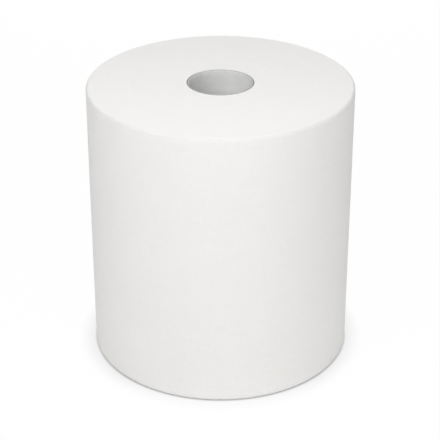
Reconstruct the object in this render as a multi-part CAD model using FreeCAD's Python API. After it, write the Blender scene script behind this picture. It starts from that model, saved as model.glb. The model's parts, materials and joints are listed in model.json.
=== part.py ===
"""A wide roll of white paper towel wound hard on a paperboard core, standing on one end.

The row frame is in millimetres: +Z runs up the roll's axis, and the origin is the centre of
the lower end face. The roll's free end, its tail, lies down the back, on the +Y side.
"""
import FreeCAD, Part

import math
import os

# The roll as a whole: a narrowly rounded upper rim, and a crisp lower one
WEB_WIDTH = 203.0
ROLL_DIAMETER = 188.8
RIM_ROUND = 2.0
FOOT_CHAMFER = 0.8

# The core, a paperboard tube cut a little shorter than the web
CORE_BORE = 44.4
CORE_WALL = 1.5
CORE_RECESS = 0.2
CORE_END_CHAMFER = 0.3

# The paper's outermost lap, which ends in the tail
LAP_THICKNESS = 0.3
TAIL_ANGLE = 115.0

# The turns that show on each end face, as a spiral groove where the web's edge wandered
TURN_MARK_PITCH = 12.0
TURN_MARK_WIDTH = 0.8
TURN_MARK_DEPTH = 0.25
TURN_MARK_MARGIN = 2.5
HOLE_CHAMFER = 0.5

# How far a cutting body runs past the face that it cuts
OVERCUT = 1.0

ORIGIN = FreeCAD.Vector(0, 0, 0)
UP = FreeCAD.Vector(0, 0, 1)
CORE_RADIUS = CORE_BORE / 2 + CORE_WALL
ROLL_RADIUS = ROLL_DIAMETER / 2


def toward(angle, distance, z=0.0):
    """The point at a distance from the roll's axis, in the direction of an angle in degrees."""
    turn = math.radians(angle)
    return FreeCAD.Vector(distance * math.cos(turn), distance * math.sin(turn), z)


def turned(corners, centre, start, sweep):
    """A solid turned about the upright through a centre, from a closed row of (distance, z)."""
    points = [centre + toward(start, distance, z) for distance, z in corners]
    outline = Part.makePolygon([*points, points[0]])
    return Part.Face(outline).revolve(centre, UP, sweep)


def half_drum(centre, radius, start):
    """Half a drum as wide as the web, turned 180 degrees about a centre: round rim, crisp foot."""
    flat = radius - RIM_ROUND
    bend = RIM_ROUND * math.sqrt(0.5)

    def at(distance, z):
        return centre + toward(start, distance, z)

    side = Part.makePolygon(
        [
            at(flat, WEB_WIDTH),
            at(0, WEB_WIDTH),
            at(0, 0),
            at(radius - FOOT_CHAMFER, 0),
            at(radius, FOOT_CHAMFER),
            at(radius, WEB_WIDTH - RIM_ROUND),
        ]
    )
    rim = Part.Arc(
        at(radius, WEB_WIDTH - RIM_ROUND),
        at(flat + bend, WEB_WIDTH - RIM_ROUND + bend),
        at(flat, WEB_WIDTH),
    )
    return Part.Face(Part.Wire([*side.Edges, rim.toShape()])).revolve(centre, UP, 180)


def drum_with_tail():
    """The full drum, whose surface is the last lap: it ends in a step one sheet high.

    Its two halves turn about centres half a sheet apart, so they meet smoothly on the side
    away from the tail."""
    older = half_drum(ORIGIN, ROLL_RADIUS - LAP_THICKNESS, TAIL_ANGLE)
    newer = half_drum(
        toward(TAIL_ANGLE, LAP_THICKNESS / 2),
        ROLL_RADIUS - LAP_THICKNESS / 2,
        TAIL_ANGLE + 180,
    )
    return older.fuse(newer).removeSplitter()


def turn_marks(face_z, outward):
    """The V-shaped spiral groove of one end face, as half turns to cut away.

    Two centres take turns, half a pitch apart on the tail's line, so the half turns meet
    smoothly. outward is 1 for the upper face and -1 for the lower."""
    first = CORE_RADIUS + HOLE_CHAMFER + TURN_MARK_MARGIN
    last = ROLL_RADIUS - LAP_THICKNESS - RIM_ROUND - TURN_MARK_MARGIN
    step = TURN_MARK_PITCH / 2
    centres = (ORIGIN, toward(TAIL_ANGLE, step))
    spread = TURN_MARK_WIDTH / 2 * (1 + OVERCUT / TURN_MARK_DEPTH)
    tip = face_z - outward * TURN_MARK_DEPTH
    mouth = face_z + outward * OVERCUT
    marks = []
    for k in range(int((last - first) / step)):
        middle = first + k * step
        corners = [(middle, tip), (middle + spread, mouth), (middle - spread, mouth)]
        marks.append(turned(corners, centres[k % 2], TAIL_ANGLE + 180 * k, 180))
    return marks


def wound_towel():
    """The whole web of paper, wound up: every turn in one solid."""
    low = HOLE_CHAMFER
    high = WEB_WIDTH - HOLE_CHAMFER
    wide = CORE_RADIUS + HOLE_CHAMFER + OVERCUT
    hole = [
        (0, -OVERCUT),
        (wide, -OVERCUT),
        (CORE_RADIUS, low),
        (CORE_RADIUS, high),
        (wide, WEB_WIDTH + OVERCUT),
        (0, WEB_WIDTH + OVERCUT),
    ]
    cuts = [turned(hole, ORIGIN, TAIL_ANGLE, 360)]
    cuts += turn_marks(0.0, -1)
    cuts += turn_marks(WEB_WIDTH, 1)
    return drum_with_tail().cut(cuts)


def core_tube():
    """The paperboard tube, glued inside the first turn of the web."""
    bore = CORE_BORE / 2
    low = CORE_RECESS
    high = WEB_WIDTH - CORE_RECESS
    ease = CORE_END_CHAMFER
    wall = [
        (bore + ease, low),
        (CORE_RADIUS - ease, low),
        (CORE_RADIUS, low + ease),
        (CORE_RADIUS, high - ease),
        (CORE_RADIUS - ease, high),
        (bore + ease, high),
        (bore, high - ease),
        (bore, low + ease),
    ]
    return turned(wall, ORIGIN, TAIL_ANGLE, 360)


def main():
    os.makedirs("parts", exist_ok=True)
    for name, solid in (("wound_towel", wound_towel()), ("core_tube", core_tube())):
        solid.exportStep(os.path.join("parts", name + ".step"))
        print(name, solid.isValid(), len(solid.Solids), round(solid.Volume / 1000, 1), "cm3")


main()
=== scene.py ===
"""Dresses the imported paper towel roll: the wound paper, its core tube, and a plain pale stage.

The file is laid out as an add-on and run as a script. Everything is in metres, in the frame
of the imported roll: +Z up its axis, and the origin in the middle of the end that it stands on.
"""
import json
import math

import bmesh
import bpy
import numpy as np
from bpy.props import FloatProperty, FloatVectorProperty, PointerProperty
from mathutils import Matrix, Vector


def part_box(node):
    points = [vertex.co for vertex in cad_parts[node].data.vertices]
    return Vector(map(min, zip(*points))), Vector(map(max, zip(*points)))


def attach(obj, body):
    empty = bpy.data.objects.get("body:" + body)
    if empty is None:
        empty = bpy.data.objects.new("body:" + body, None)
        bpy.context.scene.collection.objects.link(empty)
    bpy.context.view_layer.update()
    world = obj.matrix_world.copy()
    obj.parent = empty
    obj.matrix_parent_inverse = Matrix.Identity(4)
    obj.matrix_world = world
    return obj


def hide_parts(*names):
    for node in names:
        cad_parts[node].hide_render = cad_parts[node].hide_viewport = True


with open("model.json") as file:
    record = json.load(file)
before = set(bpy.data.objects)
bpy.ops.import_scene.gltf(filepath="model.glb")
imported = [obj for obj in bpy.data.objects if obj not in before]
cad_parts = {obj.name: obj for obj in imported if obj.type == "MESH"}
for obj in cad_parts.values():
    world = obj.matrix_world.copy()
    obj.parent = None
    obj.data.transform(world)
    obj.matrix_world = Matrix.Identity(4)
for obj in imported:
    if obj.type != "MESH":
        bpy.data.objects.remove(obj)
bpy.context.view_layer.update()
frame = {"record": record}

bl_info = {
    "name": "Paper towel roll",
    "version": (1, 0, 0),
    "blender": (4, 5, 0),
    "location": "3D View > Sidebar > Towel roll",
    "description": "Builds the visible pieces of a hard-wound paper towel roll",
    "category": "Object",
}

WEB_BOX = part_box("wound_towel")
CORE_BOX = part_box("core_tube")
MOUNTS = {mount["name"]: mount for mount in frame["record"]["mounts"]}
SLOT_COLOURS = {row["slot"]: row["base_color"] for row in frame["record"]["materials"]}
FULL_TURN = 2 * math.pi

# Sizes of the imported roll, read from it where it can give them
TAIL_ANGLE = math.radians(115.0)
LAP = 0.0003
WEB_WIDTH = WEB_BOX[1].z
ROLL_RADIUS = WEB_BOX[1].y + LAP / 2 * (1 - math.sin(TAIL_ANGLE))
CORE_RADIUS = CORE_BOX[1].x
BORE_RADIUS = MOUNTS["core_bore"]["dims"]["r_mm"] / 1000

# How finely the pieces are divided
COLUMNS = 400
FLAP_COLUMNS = 10
SIDE_ROWS = 72
ROUND_ROWS = 7
MARK_ROWS = 5
LAND_ROWS = 6
CORE_COLUMNS = 180
SEAM_COLUMNS = 7
CORE_ROWS = 60
WELD = 1e-6
SHARP_ANGLE = math.radians(40)

# Each lamp's name, azimuth and elevation in degrees, distance and size
LAMPS = (
    ("key", -30, 40, 1.0, 0.6),
    ("left", -60, 40, 1.0, 0.6),
    ("high", 30, 65, 0.6, 0.3),
    ("top", 0, 80, 0.6, 0.3),
    ("low", 30, 6, 1.0, 0.3),
    ("side", 60, 6, 1.0, 0.3),
    ("back", 180, 60, 1.2, 0.8),
    ("rear", 180, 8, 1.2, 0.6),
)

# How the wound surface's small faults are spread
RIM_FADE = 0.006
FACE_FADE = 0.0025
MARK_FADE_TURN = 0.5
TURN_SPACING = 0.0013
RIM_SOFTENING = 0.15
FLAP_LEAST = 0.55
SPARE_LAPS = 2

# Each ripple's seed, its number of waves, and the height in which a wave may climb once round
FLAP_RIPPLE = (5, 4, 0.11)
SIDE_RIPPLE = (7, 12, 0.25)
RIM_RIPPLE = (11, 6, 1.0)
MOST_LOBES = 8
UPPER_FACE_SEED = 21
LOWER_FACE_SEED = 22

# How long each pattern's blots are along X, Y and Z
CREPE_RIDGES = (0.0005, 0.0005, 0.0045)
PAPER_FUZZ = (0.0003, 0.0003, 0.0006)
WRINKLES = (0.011, 0.011, 0.0035)
PAPER_CLOUDS = (0.035, 0.035, 0.03)
CUT_EDGE_FUZZ = (0.0007, 0.0007, 0.0007)
BOARD_FIBRES = (0.0011, 0.0011, 0.0005)
BOARD_PATCHES = (0.009, 0.009, 0.006)

# How the patterns join into a finish
TURNS_PER_METRE = 1100.0
END_FACING = (0.35, 0.95)
FUZZ_SHARE = 0.4
EDGE_FUZZ_SHARE = 0.35
CLOUD_SHARE = 0.5
WRINKLE_HEIGHT = 0.0002
PAPER_ROUGHNESS = (0.86, 0.98)
PAPER_GLOSS = 0.25
PLY_SHADES = (0.4, 0.6)
PLY_SHARE = 0.6
PATCH_SHARE = 0.4
BOARD_ROUGHNESS = (0.7, 0.9)
BOARD_GLOSS = 0.3

# The most that a share times what it leaves of one comes to, which is half way over a rim, where
# the painted rim shade is darkest
BEND_PEAK = 0.25


def length(name, default, description):
    """A length in metres that the user may change."""
    return FloatProperty(
        name=name, description=description, default=default, min=0.0, unit="LENGTH", precision=5
    )


def angle(name, degrees, description):
    """An angle that the user may change."""
    return FloatProperty(
        name=name, description=description, default=math.radians(degrees), subtype="ANGLE"
    )


def share(name, default, description):
    """A number from nought to one that the user may change."""
    return FloatProperty(
        name=name, description=description, default=default, min=0.0, max=1.0, subtype="FACTOR"
    )


def colour(name, default, description):
    """A linear colour that the user may change."""
    return FloatVectorProperty(
        name=name, description=description, default=default, min=0.0, max=1.0, subtype="COLOR"
    )


def power(name, watts, description):
    """A lamp's power that the user may change."""
    return FloatProperty(
        name=name, description=description, default=watts, min=0.0, subtype="POWER"
    )


class TowelSettings(bpy.types.PropertyGroup):
    """The wound paper: its rims, its tail, its turns and its finish."""

    rim_round: length("Rim round", 0.002, "How far the upper rim is rounded over")
    foot_round: length("Foot round", 0.0022, "How far the lower rim is rounded over")
    mouth_round: length("Mouth round", 0.0001, "How far the paper is eased round the core")
    rise: length("Rise", 0.00099, "How far the upper end face rises from its rim to the core")
    mark_pitch: length("Turn mark pitch", 0.012, "From one turn of the faces' groove to the next")
    mark_width: length("Turn mark width", 0.0024, "How wide the end face's groove is")
    mark_depth: length("Turn mark depth", 0.00008, "How deep the end face's groove is")
    mark_margin: length("Turn mark margin", 0.0029, "From the hole's rim to the first turn mark")
    flap_length: length("Flap length", 0.016, "How much of the last sheet is free at the tail")
    flap_lift: length("Flap lift", 0.0011, "How far the tail's edge stands off the roll")
    sheet: length("Sheet", 0.00016, "How thick one sheet of paper is")
    bulge: length("Unevenness", 0.00012, "How far the wound surface strays from a true cylinder")
    sinking: length("Turn unevenness", 0.0001, "How far single turns sink into the end faces")
    paper: colour("Paper", SLOT_COLOURS["towel_paper"], "The paper's own colour")
    crepe_height: length("Crepe height", 0.00008, "How high the paper's fine creping is")
    mottle: share("Mottle", 0.02, "How much lighter and darker the paper is in patches")
    speckle: share("Speckle", 0.06, "How much lighter and darker the paper's creping is")
    # Painted shade: darkens the paper's colour over both rims' bends, where the lamps light the
    # paper most
    rim_shade: share("Rim shade", 0.085, "How much darker the paper is where a rim bends over")


class CoreSettings(bpy.types.PropertyGroup):
    """The core: a paperboard tube wound from strips."""

    end_round: length("End round", 0.0003, "How far the bore's edges are eased")
    gap_width: length("Gap width", 0.0006, "How far the cut ends' outer edges stand off the paper")
    gap_depth: length("Gap depth", 0.004, "How deep the gap between core and paper is at the ends")
    recess: length("Recess", 0.0002, "How far the core's upper end lies below the paper round it")
    seam_angle: angle("Seam angle", 32.5, "The angle that the inner strip's seam climbs at")
    seam_width: length("Seam width", 0.0008, "The gap between the inner strip's edges")
    seam_depth: length("Seam depth", 0.00025, "How deep the gap between the strip's edges is")
    ply: length("Ply", 0.0005, "How thick one ply of the tube's wall is")
    board: colour("Board", SLOT_COLOURS["core_board"], "The colour of the paperboard's strips")
    cut: colour("Cut board", (0.42, 0.418, 0.413), "The colour of the paperboard's inner plies")
    fibre: share("Fibre", 0.22, "How much lighter and darker the board's fibres are")
    roughness: length("Roughness", 0.00012, "How high the board's fibres and plies stand")


class StageSettings(bpy.types.PropertyGroup):
    """The floor, the lamps, the world and the camera."""

    distance: length("Camera distance", 1.0886, "From the middle of the roll to the camera")
    elevation: angle("Elevation", 27.596, "How high above the horizon the camera stands")
    pitch: angle("Pitch", 27.906, "How far below the horizon the camera looks")
    sideways: length("Camera offset", 0.00033, "How far left of the roll's axis the camera stands")
    lens: FloatProperty(
        name="Lens",
        description="The focal length of the camera, in millimetres",
        default=121.8,
        min=1.0,
        unit="CAMERA",
    )
    floor_size: length("Floor size", 6.0, "Each side of the square floor")
    floor: colour("Floor", (0.97, 0.97, 0.97), "The floor's own colour")
    shadow: share("Shadow", 0.03, "How much of the floor's shading the camera sees")
    contact: share("Contact shade", 0.31, "How much the floor darkens close to the roll")
    contact_front: share("Front shade", 0.42, "How much of that is left at the lit front")
    front_depth: share("Front depth", 0.3, "How far back the lit front reaches, of the radius")
    contact_reach: length("Contact reach", 0.014, "How far from the roll the floor darkens")
    crevice: share("Crevice shade", 0.65, "How much the floor darkens right under the roll's rim")
    crevice_reach: length("Crevice reach", 0.0018, "How far out the darkest line reaches")
    backdrop: share("Backdrop", 0.987, "How white the background is where it is seen")
    ambient: share("Ambient", 0.26, "The strength of the light from all round")
    key: power("Key lamp", 3.85, "The power of the lamp at the upper left front")
    left: power("Left lamp", 0.77, "The power of the lamp beside it, further to the left")
    high: power("High lamp", 0.62, "The power of the near lamp high at the right front")
    top: power("Top lamp", 0.29, "The power of the near lamp almost above the roll")
    low: power("Low lamp", 0.92, "The power of the small low lamp at the right front")
    side: power("Side lamp", 1.04, "The power of the small low lamp further to the right")
    back: power("Back lamp", 1.80, "The power of the large high lamp behind the roll")
    rear: power("Rear lamp", 5.40, "The power of the low lamp behind it, which lights its back")


def smooth(value):
    """Nought below nought, one above one, and an even S between them."""
    held = np.clip(value, 0.0, 1.0)
    return held * held * (3 - 2 * held)


def growth(turn):
    """The share of its pitch that the wound web has gained, at a turn past the tail's line.

    It gains nothing on the first half turn and the whole pitch on the second, which is how
    two half circles with shifted centres meet."""
    return np.where(turn < math.pi, 0.0, (1 + np.cos(turn)) / 2)


def once_round():
    """The turns past the tail's line at which a grid has its columns, as one row."""
    return np.arange(COLUMNS)[None, :] / COLUMNS * FULL_TURN


def quarter_bend():
    """The angles at which a rounded edge has its rows, from nought to a right angle."""
    return np.linspace(0, math.pi / 2, ROUND_ROWS)


def hump(across, half):
    """A soft hump, one in the middle of a strip and nought at its edges."""
    return np.cos(across / half * math.pi / 2) ** 2


def ripple(turn, height, seed, waves, reach):
    """A gentle swell between -1 and 1, round the roll and up it, the same on every run."""
    chance = np.random.default_rng(seed)
    total = 0.0
    for _ in range(waves):
        lobes = chance.integers(1, MOST_LOBES + 1)
        climb = chance.uniform(-1, 1) * FULL_TURN / reach
        total = total + np.cos(lobes * turn + climb * height + chance.uniform(0, FULL_TURN))
    return total / waves


def points(radius, turn, height):
    """A grid of points from a grid of radii, turns past the tail's line, and heights."""
    radius, turn, height = np.broadcast_arrays(radius, TAIL_ANGLE + turn, height)
    return np.stack([radius * np.cos(turn), radius * np.sin(turn), height], axis=-1)


def quads(numbers, shift):
    """The quads of a grid of vertex numbers, whose last column joins its first.

    In a spiral grid it joins the first column as many rows further on as the shift says."""
    following = np.roll(numbers, -1, axis=1)
    following[:, -1] = np.roll(numbers[:, 0], -shift)
    last = len(numbers) - shift
    corners = (numbers[: last - 1], following[: last - 1], following[1:last], numbers[1:last])
    return np.stack(corners, axis=-1).reshape(-1, 4)


def solid_from(name, grids):
    """One closed mesh object from grids of points that share rims, each with its row shift."""
    vertices = np.concatenate([grid.reshape(-1, 3) for grid, _ in grids])
    faces = []
    first = 0
    for grid, shift in grids:
        rows, columns = grid.shape[:2]
        numbers = first + np.arange(rows * columns).reshape(rows, columns)
        faces += quads(numbers, shift).tolist()
        first += rows * columns
    mesh = bpy.data.meshes.new(name)
    mesh.from_pydata(vertices.tolist(), [], faces)
    build = bmesh.new()
    build.from_mesh(mesh)
    bmesh.ops.remove_doubles(build, verts=build.verts, dist=WELD)
    bmesh.ops.recalc_face_normals(build, faces=build.faces)
    open_edges = sum(not edge.is_manifold for edge in build.edges)
    build.to_mesh(mesh)
    build.free()
    if open_edges:
        raise RuntimeError(f"{name} isn't closed: it has {open_edges} open edges")
    mesh.shade_smooth()
    mesh.set_sharp_from_angle(angle=SHARP_ANGLE)
    piece = bpy.data.objects.new(name, mesh)
    bpy.context.scene.collection.objects.link(piece)
    return piece


def outer_grid(towel):
    """The roll's side and both its rims, from the flat of the upper end face to the lower's.

    The columns start on the lap under the free flap, go once round the roll to the flap's
    edge, and come back along its underside."""
    bend = quarter_bend()
    upper = WEB_WIDTH - towel.rim_round * (1 - np.cos(bend))
    lower = towel.foot_round * (1 - np.cos(bend[::-1]))
    side = np.linspace(upper[-1], lower[0], SIDE_ROWS)[1:-1]
    height = np.concatenate([upper, side, lower])[:, None]
    reach = np.concatenate([np.sin(bend), np.ones(len(side)), np.sin(bend[::-1])])[:, None]
    rim = np.where(height > WEB_WIDTH / 2, towel.rim_round, towel.foot_round)
    flat = ROLL_RADIUS - LAP - rim
    free = towel.flap_length / ROLL_RADIUS
    opened = smooth((WEB_WIDTH - height) / RIM_FADE) * smooth(height / RIM_FADE)
    wave = FLAP_LEAST + (1 - FLAP_LEAST) * ripple(0.0, height, *FLAP_RIPPLE)
    along = np.linspace(0, 1, FLAP_COLUMNS)

    def full_radius(turn):
        """The outside's radius before the rims are rounded."""
        gained = LAP * growth(turn)
        lift = towel.flap_lift * opened * wave * smooth(1 - (FULL_TURN - turn) / free)
        return ROLL_RADIUS - LAP + gained + lift

    outside = np.linspace(0, FULL_TURN, COLUMNS + 1)[None, :]
    inside = FULL_TURN - free * opened * (1 - along[::-1])
    under = -free * opened * (1 - along[:-1])
    thickness = LAP * growth(inside) * (1 - along[::-1]) + towel.sheet * along[::-1]
    turn = np.concatenate([under, outside + 0 * height, inside], axis=1)
    radius = np.concatenate(
        [
            ROLL_RADIUS - LAP + 0 * under,
            full_radius(outside),
            full_radius(inside) - thickness,
        ],
        axis=1,
    )
    radius = radius + towel.bulge * ripple(turn, height, *SIDE_RIPPLE)
    slump = (WEB_WIDTH - height) * (reach < 1) * (height > WEB_WIDTH / 2)
    height = height - slump * RIM_SOFTENING * ripple(turn, 0.0, *RIM_RIPPLE)
    return points(flat + (radius - flat) * reach, turn, height)


def end_grid(towel, level, outward, rise, seed):
    """One end face as a spiral grid of the wound turns, with its groove.

    Rows that would start inside the hole or end past the rim are held on its circle, where
    they weld into one."""
    half = towel.mark_width / 2
    across = np.linspace(-half, half, MARK_ROWS)
    land = np.linspace(half, towel.mark_pitch - half, LAND_ROWS + 2)[1:-1]
    offsets = np.concatenate([across, land])
    depth = np.concatenate([hump(across, half), np.zeros(LAND_ROWS)])
    mouth = CORE_RADIUS + towel.mouth_round
    rim = towel.rim_round if outward > 0 else towel.foot_round
    flat = ROLL_RADIUS - LAP - rim
    first = mouth + towel.mark_margin
    last = ROLL_RADIUS - LAP - towel.rim_round - towel.mark_margin
    marked = int((last - first) / (towel.mark_pitch / 2)) / 2
    laps = np.arange(
        -SPARE_LAPS, math.ceil((flat - first) / towel.mark_pitch) + SPARE_LAPS
    )

    turn = once_round()
    start = (first + towel.mark_pitch * laps[:, None] + offsets).reshape(-1, 1)
    radius = np.clip(start + towel.mark_pitch * growth(turn), mouth, flat)
    wound = np.repeat(laps, len(offsets))[:, None] + turn / FULL_TURN
    shown = smooth(wound / MARK_FADE_TURN) * smooth((marked - wound) / MARK_FADE_TURN)
    groove = towel.mark_depth * shown * np.tile(depth, len(laps))[:, None]
    knots = np.arange(mouth, flat, TURN_SPACING)
    steps = np.random.default_rng(seed).uniform(0, 1, len(knots))
    sunk = groove + towel.sinking * np.interp(radius, knots, steps)
    held = smooth((radius - mouth) / FACE_FADE) * smooth((flat - radius) / FACE_FADE)
    risen = rise * (1 - ((radius - mouth) / (flat - mouth)) ** 2)
    return points(radius, turn, level + outward * (risen - held * sunk)), len(offsets)


def hole_grid(towel):
    """The wall of the hole that the core fills, with both its eased mouths."""
    bend = quarter_bend()
    ease = towel.mouth_round
    out = ease * (1 - np.sin(bend))
    down = ease * (1 - np.cos(bend))
    radius = CORE_RADIUS + np.concatenate([out, out[::-1]])[:, None]
    height = np.concatenate([WEB_WIDTH + towel.rise - down, down[::-1]])[:, None]
    return points(radius, once_round(), height)


def core_grid(core, low, high):
    """The tube's whole surface: its bore, its ends and its outside, in columns that climb
    with the inner strip's seam."""
    ease = core.end_round
    bend = quarter_bend()
    inner = BORE_RADIUS + ease * (1 - np.cos(bend))
    inner_drop = ease * (1 - np.sin(bend))
    along = np.linspace(0, 1, ROUND_ROWS)
    outer = CORE_RADIUS - core.gap_width * (1 - along)
    outer_drop = core.gap_depth * along
    bore_wall = np.linspace(high - ease, low + ease, CORE_ROWS)
    outside = np.linspace(low + core.gap_depth, high - core.gap_depth, CORE_ROWS)
    radius = np.concatenate(
        [
            np.full(CORE_ROWS, BORE_RADIUS),
            inner,
            outer,
            np.full(CORE_ROWS, CORE_RADIUS),
            outer[::-1],
            inner[::-1],
        ]
    )[:, None]
    height = np.concatenate(
        [
            bore_wall,
            low + inner_drop,
            low + outer_drop,
            outside,
            high - outer_drop[::-1],
            high - inner_drop[::-1],
        ]
    )[:, None]
    climb = 1 / (BORE_RADIUS * math.tan(core.seam_angle))
    half = core.seam_width / 2 / math.sin(core.seam_angle) / BORE_RADIUS
    seam = np.linspace(-half, half, SEAM_COLUMNS)
    plain = np.linspace(half, FULL_TURN - half, CORE_COLUMNS - SEAM_COLUMNS + 2)[1:-1]
    turn = np.concatenate([seam, plain])[None, :]
    dip = np.concatenate([hump(seam, half), 0 * plain])[None, :]
    cut = core.seam_depth * dip * (radius < BORE_RADIUS + ease / 2)
    grid = points(radius + cut, turn + climb * height, height)
    return np.concatenate([grid, grid[:1]])


def add_node(tree, kind, inputs, **settings):
    """A shader node whose inputs are numbers, or other nodes' outputs to link."""
    node = tree.nodes.new("ShaderNode" + kind)
    for name, value in settings.items():
        setattr(node, name, value)
    for name, value in inputs.items():
        if isinstance(value, bpy.types.NodeSocket):
            tree.links.new(value, node.inputs[name])
        else:
            node.inputs[name].default_value = value
    return node


def new_material(name, **uniform):
    """A material with a node tree, its shader and the values that are the same all over."""
    material = bpy.data.materials.new(name)
    material.use_nodes = True
    shader = material.node_tree.nodes["Principled BSDF"]
    for socket, value in uniform.items():
        shader.inputs[socket.replace("_", " ")].default_value = value
    return material, shader


def noise(tree, where, size, detail=2.0, roughness=0.5):
    """A noise pattern whose blots are as long as size says along each axis, in metres."""
    scale = [1 / side for side in size]
    stretched = add_node(tree, "Mapping", {"Vector": where, "Scale": scale})
    inputs = {
        "Vector": stretched.outputs["Vector"],
        "Scale": 1.0,
        "Detail": detail,
        "Roughness": roughness,
    }
    return add_node(tree, "TexNoise", inputs).outputs["Fac"]


def ramp(tree, value, start, end, low=0.0, high=1.0, course="LINEAR"):
    """The low number up to the start, the high one from the end, and a ramp between them."""
    inputs = {"Value": value, "From Min": start, "From Max": end, "To Min": low, "To Max": high}
    return add_node(tree, "MapRange", inputs, interpolation_type=course).outputs["Result"]


def spread(tree, value, low, high):
    """A value from nought to one, spread evenly between two others."""
    return ramp(tree, value, 0.0, 1.0, low, high)


def arithmetic(tree, operation, first, second):
    """Two numbers or outputs, joined by a sum, product or other operation."""
    node = add_node(tree, "Math", {0: first, 1: second}, operation=operation)
    return node.outputs["Value"]


def blend_values(tree, factor, first, second):
    """The first value where the factor is nought, and the second where it is one."""
    return add_node(tree, "Mix", {0: factor, 2: first, 3: second}).outputs[0]


def blend_colours(tree, factor, first, second):
    """The first linear colour where the factor is nought, and the second where it is one."""
    inputs = {0: factor, 6: (*first, 1.0), 7: (*second, 1.0)}
    return add_node(tree, "Mix", inputs, data_type="RGBA").outputs[2]


def surface_place(tree):
    """The point on the surface, its distance from the roll's axis, and how level it lies."""
    place = add_node(tree, "TexCoord", {}).outputs
    facing = add_node(tree, "SeparateXYZ", {"Vector": place["Normal"]})
    level = arithmetic(tree, "ABSOLUTE", facing.outputs["Z"], 0.0)
    where = place["Object"]
    flat = add_node(tree, "VectorMath", {0: where, 1: (1, 1, 0)}, operation="MULTIPLY")
    distance = add_node(tree, "VectorMath", {0: flat.outputs["Vector"]}, operation="LENGTH")
    return where, distance.outputs["Value"], level


def paper_finish(towel):
    """White creped towel: fine creping down the side, the turns' cut edges on the ends, and
    painted shade in the paper's colour where the rims bend over.
    """
    material, shader = new_material("creped towel paper", Specular_IOR_Level=PAPER_GLOSS)
    tree = material.node_tree
    where, distance, upright = surface_place(tree)
    on_end = ramp(tree, upright, *END_FACING, course="SMOOTHSTEP")

    ridges = noise(tree, where, CREPE_RIDGES)
    fuzz = noise(tree, where, PAPER_FUZZ, detail=3.0, roughness=0.6)
    creping = blend_values(tree, FUZZ_SHARE, ridges, fuzz)
    wrinkles = noise(tree, where, WRINKLES)
    clouds = noise(tree, where, PAPER_CLOUDS)

    rings = add_node(
        tree,
        "TexNoise",
        {"W": distance, "Scale": TURNS_PER_METRE, "Detail": 3.0, "Roughness": 0.65},
        noise_dimensions="1D",
    ).outputs["Fac"]
    edges = noise(tree, where, CUT_EDGE_FUZZ)
    cut_edges = blend_values(tree, EDGE_FUZZ_SHARE, rings, edges)

    fine = blend_values(tree, on_end, creping, cut_edges)
    patches = blend_values(tree, CLOUD_SHARE, wrinkles, clouds)
    cloudy = spread(tree, patches, 1 - towel.mottle, 1 + towel.mottle)
    speckled = spread(tree, fine, 1 - towel.speckle, 1 + towel.speckle)
    # Painted shade: the paper's colour is darkened over both rims, most where the surface is half
    # way between level and upright, to hold down the highlight that the lamps put on the rims
    level = arithmetic(tree, "MULTIPLY", upright, upright)
    bend = arithmetic(tree, "MULTIPLY", level, arithmetic(tree, "SUBTRACT", 1.0, level))
    painted_rim_shade = arithmetic(tree, "MULTIPLY", bend, towel.rim_shade / BEND_PEAK)
    plain = arithmetic(tree, "SUBTRACT", cloudy, painted_rim_shade)
    tone = arithmetic(tree, "MULTIPLY", plain, speckled)
    tinted = add_node(tree, "VectorMath", {0: towel.paper, "Scale": tone}, operation="SCALE")
    coarse_bump = add_node(tree, "Bump", {"Height": wrinkles, "Distance": WRINKLE_HEIGHT})
    fine_bump = add_node(
        tree,
        "Bump",
        {"Height": fine, "Distance": towel.crepe_height, "Normal": coarse_bump.outputs["Normal"]},
    )
    tree.links.new(tinted.outputs["Vector"], shader.inputs["Base Color"])
    tree.links.new(spread(tree, fine, *PAPER_ROUGHNESS), shader.inputs["Roughness"])
    tree.links.new(fine_bump.outputs["Normal"], shader.inputs["Normal"])
    return material


def board_finish(core):
    """Grey recycled paperboard: short fibres on the strips, and plies on the cut ends."""
    material, shader = new_material("grey core board", Specular_IOR_Level=BOARD_GLOSS)
    tree = material.node_tree
    where, distance, on_end = surface_place(tree)

    fibres = noise(tree, where, BOARD_FIBRES, detail=4.0, roughness=0.65)
    patches = noise(tree, where, BOARD_PATCHES)
    ply_wave = arithmetic(tree, "MULTIPLY", distance, FULL_TURN / core.ply)
    plies = spread(tree, arithmetic(tree, "SINE", ply_wave, 0.0), *PLY_SHADES)
    fine = blend_values(tree, on_end, fibres, blend_values(tree, PLY_SHARE, fibres, plies))
    toned = blend_values(tree, PATCH_SHARE, fine, patches)
    tone = spread(tree, toned, 1 - core.fibre, 1 + core.fibre)
    skin = core.end_round / 2
    in_wall = ramp(tree, distance, BORE_RADIUS + skin / 2, BORE_RADIUS + skin)
    plain = blend_colours(tree, in_wall, core.board, core.cut)
    tinted = add_node(tree, "VectorMath", {0: plain, "Scale": tone}, operation="SCALE")
    bump = add_node(tree, "Bump", {"Height": fine, "Distance": core.roughness})
    tree.links.new(tinted.outputs["Vector"], shader.inputs["Base Color"])
    tree.links.new(spread(tree, fine, *BOARD_ROUGHNESS), shader.inputs["Roughness"])
    tree.links.new(bump.outputs["Normal"], shader.inputs["Normal"])
    return material


def seen_directly(tree):
    """One for rays that come straight from the camera, or by a mirror or glass, else nought."""
    path = add_node(tree, "LightPath", {}).outputs
    first = arithmetic(tree, "MAXIMUM", path["Is Camera Ray"], path["Is Glossy Ray"])
    return arithmetic(tree, "MAXIMUM", first, path["Is Transmission Ray"])


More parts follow.
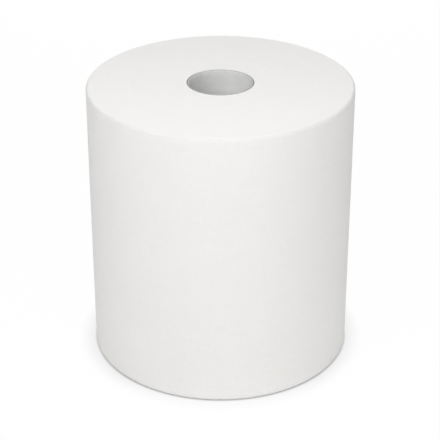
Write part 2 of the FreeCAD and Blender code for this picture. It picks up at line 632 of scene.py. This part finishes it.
def floor_finish(stage):
    """A white floor that light falls on, and that is seen as white with the roll's shadow."""
    material = bpy.data.materials.new("white floor")
    material.use_nodes = True
    tree = material.node_tree
    tree.nodes.clear()
    lit = add_node(tree, "BsdfDiffuse", {"Color": (*stage.floor, 1.0)}).outputs["BSDF"]
    place = add_node(tree, "TexCoord", {}).outputs["Object"]
    away = add_node(tree, "VectorMath", {0: place}, operation="LENGTH").outputs["Value"]
    covered = arithmetic(tree, "LESS_THAN", away, CORE_RADIUS)
    depth = add_node(tree, "SeparateXYZ", {"Vector": place}).outputs["Y"]
    front_end = ROLL_RADIUS * (stage.front_depth - 1)
    behind = ramp(tree, depth, -ROLL_RADIUS, front_end, low=stage.contact_front)
    shades = []
    for reach, most in (
        (stage.contact_reach, arithmetic(tree, "MULTIPLY", behind, stage.contact)),
        (stage.crevice_reach, stage.crevice),
    ):
        open_share = add_node(tree, "AmbientOcclusion", {"Distance": reach}).outputs["AO"]
        closed = arithmetic(tree, "SUBTRACT", 1.0, open_share)
        taken = arithmetic(tree, "MULTIPLY", closed, most)
        shades.append(arithmetic(tree, "SUBTRACT", 1.0, taken))
    strength = arithmetic(tree, "MULTIPLY", *shades)
    white = add_node(tree, "Emission", {"Color": (1, 1, 1, 1), "Strength": strength})
    shaded = arithmetic(tree, "MAXIMUM", covered, stage.shadow)
    seen = add_node(tree, "MixShader", {0: shaded, 1: white.outputs["Emission"], 2: lit})
    shown = add_node(
        tree, "MixShader", {0: seen_directly(tree), 1: lit, 2: seen.outputs["Shader"]}
    )
    add_node(tree, "OutputMaterial", {"Surface": shown.outputs["Shader"]})
    return material


def make_floor(stage):
    """A square floor just under the roll."""
    mesh = bpy.data.meshes.new("floor")
    half = stage.floor_size / 2
    level = WEB_BOX[0].z - WELD
    plan = ((-half, -half), (half, -half), (half, half), (-half, half))
    mesh.from_pydata([(x, y, level) for x, y in plan], [], [(0, 1, 2, 3)])
    mesh.materials.append(floor_finish(stage))
    floor = bpy.data.objects.new("floor", mesh)
    bpy.context.scene.collection.objects.link(floor)


def around(azimuth, elevation, distance):
    """A place round the middle of the roll: azimuth 0 is the camera's side and 90 the right."""
    level = distance * math.cos(elevation)
    middle = Vector((0, 0, WEB_WIDTH / 2))
    return middle + Vector(
        (level * math.sin(azimuth), -level * math.cos(azimuth), distance * math.sin(elevation))
    )


def make_lamp(name, watts, azimuth, elevation, distance, size):
    """A soft square lamp that faces the middle of the roll, which the camera doesn't see."""
    light = bpy.data.lights.new(name, "AREA")
    light.shape = "SQUARE"
    light.size = size
    light.energy = watts
    lamp = bpy.data.objects.new(name + " lamp", light)
    place = around(math.radians(azimuth), math.radians(elevation), distance)
    away = place - around(0.0, 0.0, 0.0)
    lamp.location = place
    lamp.rotation_euler = away.to_track_quat("Z", "Y").to_euler()
    lamp.visible_camera = False
    bpy.context.scene.collection.objects.link(lamp)


def make_world(stage):
    """Even white light from all round, and a white background."""
    world = bpy.data.worlds.new("studio")
    world.use_nodes = True
    tree = world.node_tree
    background = tree.nodes["Background"]
    background.inputs["Color"].default_value = (1, 1, 1, 1)
    strength = blend_values(tree, seen_directly(tree), stage.ambient, stage.backdrop)
    tree.links.new(strength, background.inputs["Strength"])
    bpy.context.scene.world = world


def make_camera(stage):
    """The camera, where the photographer stood."""
    data = bpy.data.cameras.new("camera")
    data.lens = stage.lens
    data.clip_end = stage.floor_size * 2
    camera = bpy.data.objects.new("camera", data)
    camera.location = around(0.0, stage.elevation, stage.distance)
    camera.location.x -= stage.sideways
    camera.rotation_euler = (math.pi / 2 - stage.pitch, 0, 0)
    bpy.context.scene.collection.objects.link(camera)
    bpy.context.scene.camera = camera


class TOWEL_OT_web(bpy.types.Operator):
    """Builds the wound paper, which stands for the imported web"""

    bl_idname = "towel_roll.build_web"
    bl_label = "Build the wound paper"

    def execute(self, context):
        towel = context.scene.towel_web
        upper, shift = end_grid(towel, WEB_WIDTH, 1, towel.rise, UPPER_FACE_SEED)
        lower, _ = end_grid(towel, WEB_BOX[0].z, -1, 0.0, LOWER_FACE_SEED)
        grids = [(outer_grid(towel), 0), (upper, shift), (lower, shift), (hole_grid(towel), 0)]
        web = solid_from("towel_web", grids)
        web.data.materials.append(paper_finish(towel))
        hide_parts("wound_towel")
        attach(web, "root")
        return {"FINISHED"}


class TOWEL_OT_core(bpy.types.Operator):
    """Builds the paperboard core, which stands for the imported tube"""

    bl_idname = "towel_roll.build_core"
    bl_label = "Build the core"

    def execute(self, context):
        core = context.scene.towel_core
        top = WEB_WIDTH + context.scene.towel_web.rise - core.recess
        tube = solid_from("core_board", [(core_grid(core, CORE_BOX[0].z, top), 0)])
        tube.data.materials.append(board_finish(core))
        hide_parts("core_tube")
        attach(tube, "root")
        return {"FINISHED"}


class TOWEL_OT_stage(bpy.types.Operator):
    """Builds the floor, the lamps, the world and the camera"""

    bl_idname = "towel_roll.build_stage"
    bl_label = "Build the stage"

    def execute(self, context):
        stage = context.scene.towel_stage
        make_floor(stage)
        for name, azimuth, elevation, distance, size in LAMPS:
            make_lamp(name, getattr(stage, name), azimuth, elevation, distance, size)
        make_world(stage)
        make_camera(stage)
        context.scene.view_settings.view_transform = "Standard"
        return {"FINISHED"}


class TOWEL_PT_roll(bpy.types.Panel):
    """The sidebar's list of the roll's pieces and their settings"""

    bl_idname = "TOWEL_PT_roll"
    bl_label = "Towel roll"
    bl_space_type = "VIEW_3D"
    bl_region_type = "UI"
    bl_category = "Towel roll"

    def draw(self, context):
        for name, _, operator in PIECES:
            box = self.layout.box()
            box.operator(operator.bl_idname)
            settings = getattr(context.scene, name)
            for key in settings.__annotations__:
                box.prop(settings, key)


PIECES = (
    ("towel_web", TowelSettings, TOWEL_OT_web),
    ("towel_core", CoreSettings, TOWEL_OT_core),
    ("towel_stage", StageSettings, TOWEL_OT_stage),
)


def register():
    for name, settings, operator in PIECES:
        bpy.utils.register_class(settings)
        bpy.utils.register_class(operator)
        setattr(bpy.types.Scene, name, PointerProperty(type=settings))
    bpy.utils.register_class(TOWEL_PT_roll)


def unregister():
    bpy.utils.unregister_class(TOWEL_PT_roll)
    for name, settings, operator in reversed(PIECES):
        delattr(bpy.types.Scene, name)
        bpy.utils.unregister_class(operator)
        bpy.utils.unregister_class(settings)


def main():
    register()
    bpy.ops.towel_roll.build_web()
    bpy.ops.towel_roll.build_core()
    bpy.ops.towel_roll.build_stage()


if __name__ == "__main__":
    main()
